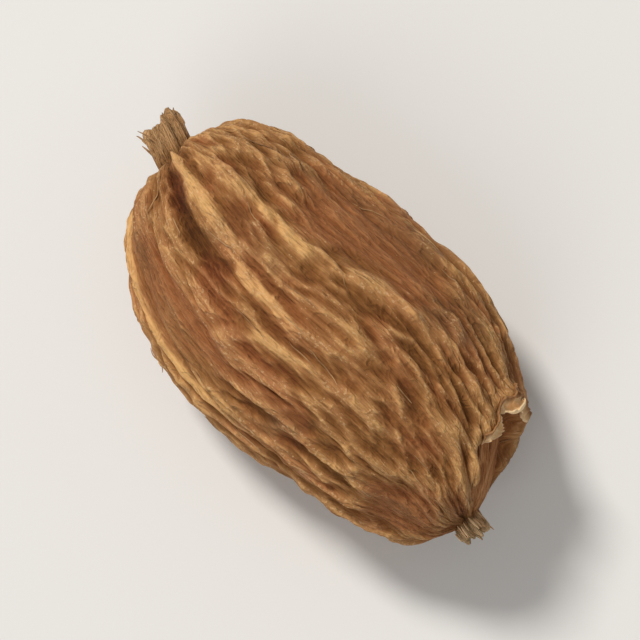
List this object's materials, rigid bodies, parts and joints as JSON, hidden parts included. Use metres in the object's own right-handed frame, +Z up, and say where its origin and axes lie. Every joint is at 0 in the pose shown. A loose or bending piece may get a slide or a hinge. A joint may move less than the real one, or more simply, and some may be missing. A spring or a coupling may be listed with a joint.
{
  "type": "black cardamom pod",
  "caption": "Dried whole black cardamom pod lying on its side: ribbed, net-wrinkled brown husk with a short stalk stub and a torn tip.",
  "frame": {"origin": "in the surface that the pod rests on, under the middle of its bounding box", "axes": "+X along the pod from the stalk stub to the torn tip, +Z up"},
  "size_m": [0.0288, 0.016, 0.0128],
  "materials": {
    "husk": "dry, matte, fibrous"
  },
  "bodies": {
    "root": {"pod": "husk"}
  },
  "joints": []
}
